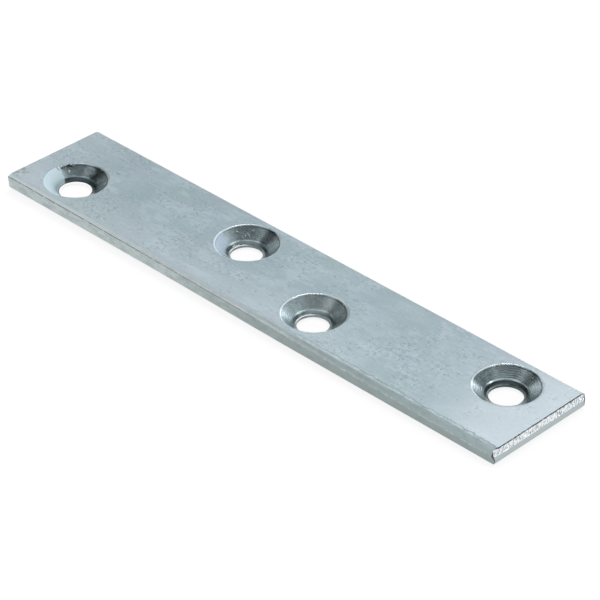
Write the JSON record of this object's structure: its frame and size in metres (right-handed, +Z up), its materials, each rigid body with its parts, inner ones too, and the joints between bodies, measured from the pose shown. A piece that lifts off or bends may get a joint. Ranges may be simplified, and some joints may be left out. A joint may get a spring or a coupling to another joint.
{
  "type": "mending plate",
  "caption": "Flat zinc-plated steel strip with staggered countersunk screw holes, for fixing timber together across a joint.",
  "frame": {"origin": "middle of the underside, the flat face that lies on the work", "axes": "+X along the strip, +Y across its width, +Z up out of the countersunk face"},
  "size_m": [0.1, 0.019, 0.0025],
  "materials": {
    "zinc_steel": "dull bluish zinc plate over steel, lightly mottled, with bright torn steel on the upper part of the cropped ends"
  },
  "bodies": {
    "root": {"mending_plate": "zinc_steel"}
  },
  "joints": []
}
